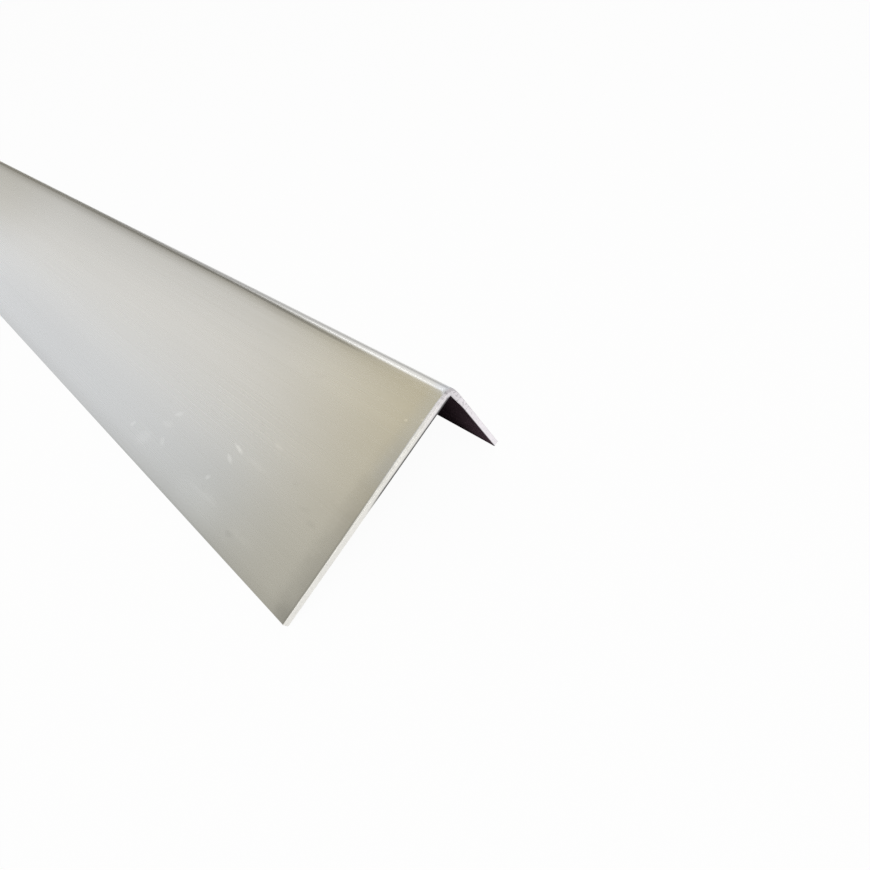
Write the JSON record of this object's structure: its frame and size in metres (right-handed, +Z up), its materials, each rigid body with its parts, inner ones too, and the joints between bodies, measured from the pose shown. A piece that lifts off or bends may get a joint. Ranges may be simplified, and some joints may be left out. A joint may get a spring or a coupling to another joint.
{
  "type": "metal angle section",
  "caption": "Straight length of metal angle with unequal legs at right angles, a rounded heel, a tight root and square-cut ends, for edging, framing and corner protection.",
  "frame": {"origin": "centre of the footprint, on the floor under the angle as it rests heel up on its two toes", "axes": "+X along the length, +Z up, the wide leg slopes down towards -Y and the narrow leg towards +Y"},
  "size_m": [1, 0.1116, 0.0449],
  "materials": {
    "metal": "satin mill finish, fine lines along the length, sawn ends"
  },
  "bodies": {
    "root": {"angle_section": "metal"}
  },
  "joints": []
}
